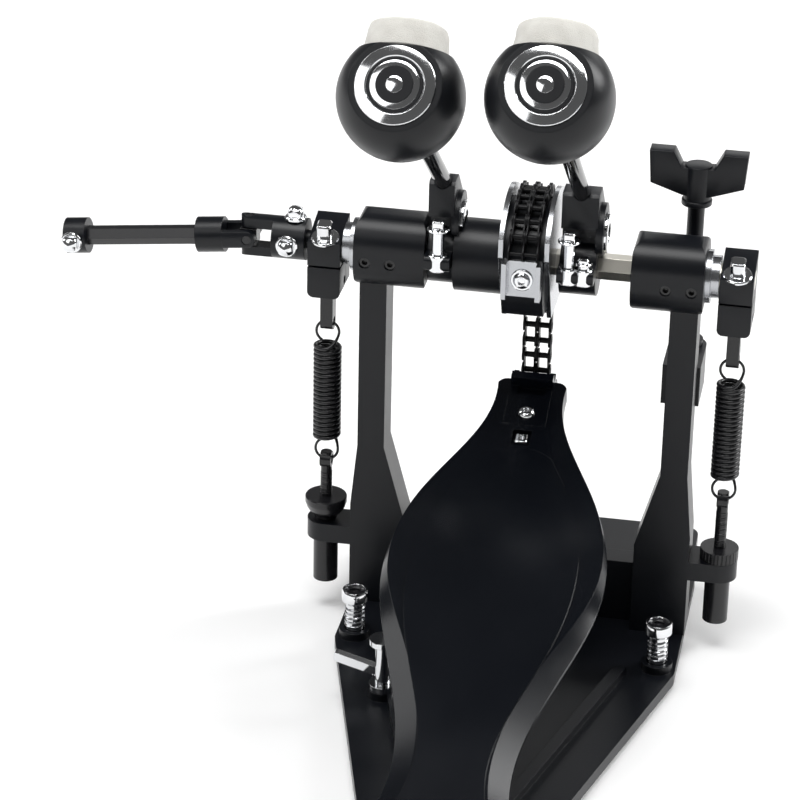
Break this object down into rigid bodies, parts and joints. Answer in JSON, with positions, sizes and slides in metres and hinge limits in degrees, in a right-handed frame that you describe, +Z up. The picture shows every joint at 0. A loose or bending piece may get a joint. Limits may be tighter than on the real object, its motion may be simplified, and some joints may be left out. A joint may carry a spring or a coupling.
{
  "type": "double bass drum pedal",
  "caption": "Primary unit of a double bass drum pedal: sprung footboard, chain cam, two leaning beaters and a universal-joint drive shaft on a post frame.",
  "frame": {"origin": "On the floor, under the middle of the axle, at the underside of the rubber feet.", "axes": "+X right along the axle as the player sees it, +Y towards the drum, +Z up."},
  "size_m": [0.3294, 0.32, 0.3611],
  "materials": {
    "black_coat": "satin black powder coat",
    "chrome": "bright chrome plate",
    "nickel": "warm nickel plate",
    "black_steel": "black oxide steel",
    "ball": "satin black plastic",
    "pad": "off-white pressed felt",
    "rubber": "matt black rubber"
  },
  "bodies": {
    "frame": {"base_plate": "black_coat", "base_rubbers": "rubber", "toe_bridge": "black_coat", "heel_block": "black_coat", "frame_pins": "nickel", "left_post": "black_coat", "right_post": "black_coat", "head_screws": "black_steel", "bearings": "chrome", "tension_rods": "black_steel", "barrel_nuts": "black_steel"},
    "footboard": {"footboard": "black_coat", "toe_clip": "black_coat", "toe_pin": "nickel", "toe_screw": "chrome"},
    "chain_upper": {"chain_upper_pair": "black_steel"},
    "chain_lower": {"chain_lower_pair": "black_steel"},
    "chain_run": {"chain_run": "black_steel"},
    "axle": {"chain_wrap": "black_steel", "cam_wheel": "black_coat", "cam_plates": "chrome", "chain_anchor": "chrome", "anchor_screw": "chrome", "hex_shaft": "nickel", "right_spring_hub": "black_coat", "right_hub_screw": "chrome", "right_beater_holder": "black_coat", "right_clamp_screws": "chrome"},
    "right_beater": {"right_beater_rod": "black_steel", "right_beater_ball": "ball", "right_beater_pad": "pad", "right_beater_badge": "chrome"},
    "slave": {"slave_sleeve": "black_coat", "left_spring_hub": "black_coat", "left_hub_screw": "chrome", "left_beater_holder": "black_coat", "left_clamp_screws": "chrome", "inner_yoke": "black_coat", "yoke_bolts": "chrome"},
    "left_beater": {"left_beater_rod": "black_steel", "left_beater_ball": "ball", "left_beater_pad": "pad", "left_beater_badge": "chrome"},
    "left_link": {"left_spring_link": "black_steel"},
    "left_coil": {"left_spring": "black_steel"},
    "right_link": {"right_spring_link": "black_steel"},
    "right_coil": {"right_spring": "black_steel"},
    "cross": {"joint_cross": "black_steel"},
    "drive_shaft": {"outer_yoke": "black_coat", "drive_bar": "black_steel", "end_collar": "black_coat", "collar_screw": "chrome"},
    "left_nut": {"left_tension_nut": "black_steel"},
    "right_nut": {"right_tension_nut": "black_steel"},
    "left_spur": {"left_spur_screw": "chrome"},
    "right_spur": {"right_spur_screw": "chrome"},
    "jaw": {"hoop_jaw": "black_coat", "jaw_pad": "rubber"},
    "handle": {"wing_handle": "black_coat"},
    "side_wing": {"wing_screw": "chrome"}
  },
  "joints": [
    {"name": "footboard_hinge", "type": "hinge", "parent": "frame", "child": "footboard", "pos_m": [0, -0.236, 0.024], "axis": [1, 0, 0], "range_deg": [-5.97, 0], "stiffness_Nm_per_rad": 8, "springref_deg": 17.19},
    {"name": "axle_turn", "type": "hinge", "parent": "frame", "child": "axle", "pos_m": [0, 0, 0.195], "axis": [1, 0, 0], "range_deg": [-50.5, 0]},
    {"name": "chain_upper_turn", "type": "hinge", "parent": "axle", "child": "chain_upper", "pos_m": [0, 0.0186, 0.22226], "axis": [1, 0, 0], "range_deg": [0, 13.5]},
    {"name": "chain_lower_turn", "type": "hinge", "parent": "chain_upper", "child": "chain_lower", "pos_m": [0, 0.02918, 0.21042], "axis": [1, 0, 0], "range_deg": [0, 28.5]},
    {"name": "chain_run_turn", "type": "hinge", "parent": "chain_lower", "child": "chain_run", "pos_m": [0, 0.033, 0.195], "axis": [1, 0, 0], "range_deg": [0, 14.5]},
    {"name": "slave_turn", "type": "hinge", "parent": "frame", "child": "slave", "pos_m": [0, 0, 0.195], "axis": [1, 0, 0], "range_deg": [-50, 0], "stiffness_Nm_per_rad": 0.3, "springref_deg": 28.65},
    {"name": "left_link_swing", "type": "hinge", "parent": "slave", "child": "left_link", "pos_m": [-0.0962, 0, 0.176], "axis": [1, 0, 0], "range_deg": [0, 60]},
    {"name": "left_spring_stretch", "type": "slide", "parent": "left_link", "child": "left_coil", "axis": [0, 0, -1], "range_m": [0, 0.009], "deforming": ["left_spring"]},
    {"name": "right_link_swing", "type": "hinge", "parent": "axle", "child": "right_link", "pos_m": [0.0962, 0, 0.176], "axis": [1, 0, 0], "range_deg": [0, 60]},
    {"name": "right_spring_stretch", "type": "slide", "parent": "right_link", "child": "right_coil", "axis": [0, 0, -1], "range_m": [0, 0.009], "deforming": ["right_spring"]},
    {"name": "right_beater_height", "type": "slide", "parent": "axle", "child": "right_beater", "axis": [0, -0.809, 0.5878], "range_m": [-0.012, 0.012]},
    {"name": "left_beater_height", "type": "slide", "parent": "slave", "child": "left_beater", "axis": [0.0105, -0.8191, 0.5735], "range_m": [-0.012, 0.012]},
    {"name": "joint_turn", "type": "hinge", "parent": "slave", "child": "cross", "pos_m": [-0.134, 0, 0.195], "axis": [0, 0, 1], "range_deg": [-25, 25]},
    {"name": "joint_bend", "type": "hinge", "parent": "cross", "child": "drive_shaft", "pos_m": [-0.134, 0, 0.195], "axis": [0, 1, 0], "range_deg": [-18, 30]},
    {"name": "left_nut_turn", "type": "hinge", "parent": "frame", "child": "left_nut", "pos_m": [-0.0962, 0, 0.057], "axis": [0, 0, 1], "continuous": true},
    {"name": "right_nut_turn", "type": "hinge", "parent": "frame", "child": "right_nut", "pos_m": [0.0962, 0, 0.051], "axis": [0, 0, 1], "continuous": true},
    {"name": "left_spur_turn", "type": "hinge", "parent": "frame", "child": "left_spur", "pos_m": [-0.073, -0.042, 0.02], "axis": [0, 0, 1], "continuous": true},
    {"name": "right_spur_turn", "type": "hinge", "parent": "frame", "child": "right_spur", "pos_m": [0.073, -0.042, 0.02], "axis": [0, 0, 1], "continuous": true},
    {"name": "handle_turn", "type": "hinge", "parent": "frame", "child": "handle", "pos_m": [0.072, 0.035, 0.1], "axis": [0, 0, 1], "range_deg": [0, 2305]},
    {"name": "jaw_slide", "type": "slide", "parent": "frame", "child": "jaw", "axis": [0, 0, 1], "range_m": [-0.008, 0]},
    {"name": "side_wing_turn", "type": "hinge", "parent": "frame", "child": "side_wing", "pos_m": [-0.0494, -0.094, 0.02], "axis": [0, 0, 1], "range_deg": [-720, 0]}
  ],
  "couplings": [
    {"joint": "axle_turn", "follows": "footboard_hinge", "ratio": 8.457},
    {"joint": "chain_upper_turn", "follows": "footboard_hinge", "ratio": -2.1613},
    {"joint": "chain_lower_turn", "follows": "footboard_hinge", "ratio": -4.6636},
    {"joint": "chain_run_turn", "follows": "footboard_hinge", "ratio": -2.3318},
    {"joint": "right_link_swing", "follows": "footboard_hinge", "ratio": -9.827},
    {"joint": "right_spring_stretch", "follows": "footboard_hinge", "m_per_rad": -0.07578},
    {"joint": "left_link_swing", "follows": "slave_turn", "ratio": -1.162},
    {"joint": "left_spring_stretch", "follows": "slave_turn", "m_per_rad": -0.00896},
    {"joint": "handle_turn", "follows": "jaw_slide", "rad_per_m": -5026.5}
  ]
}
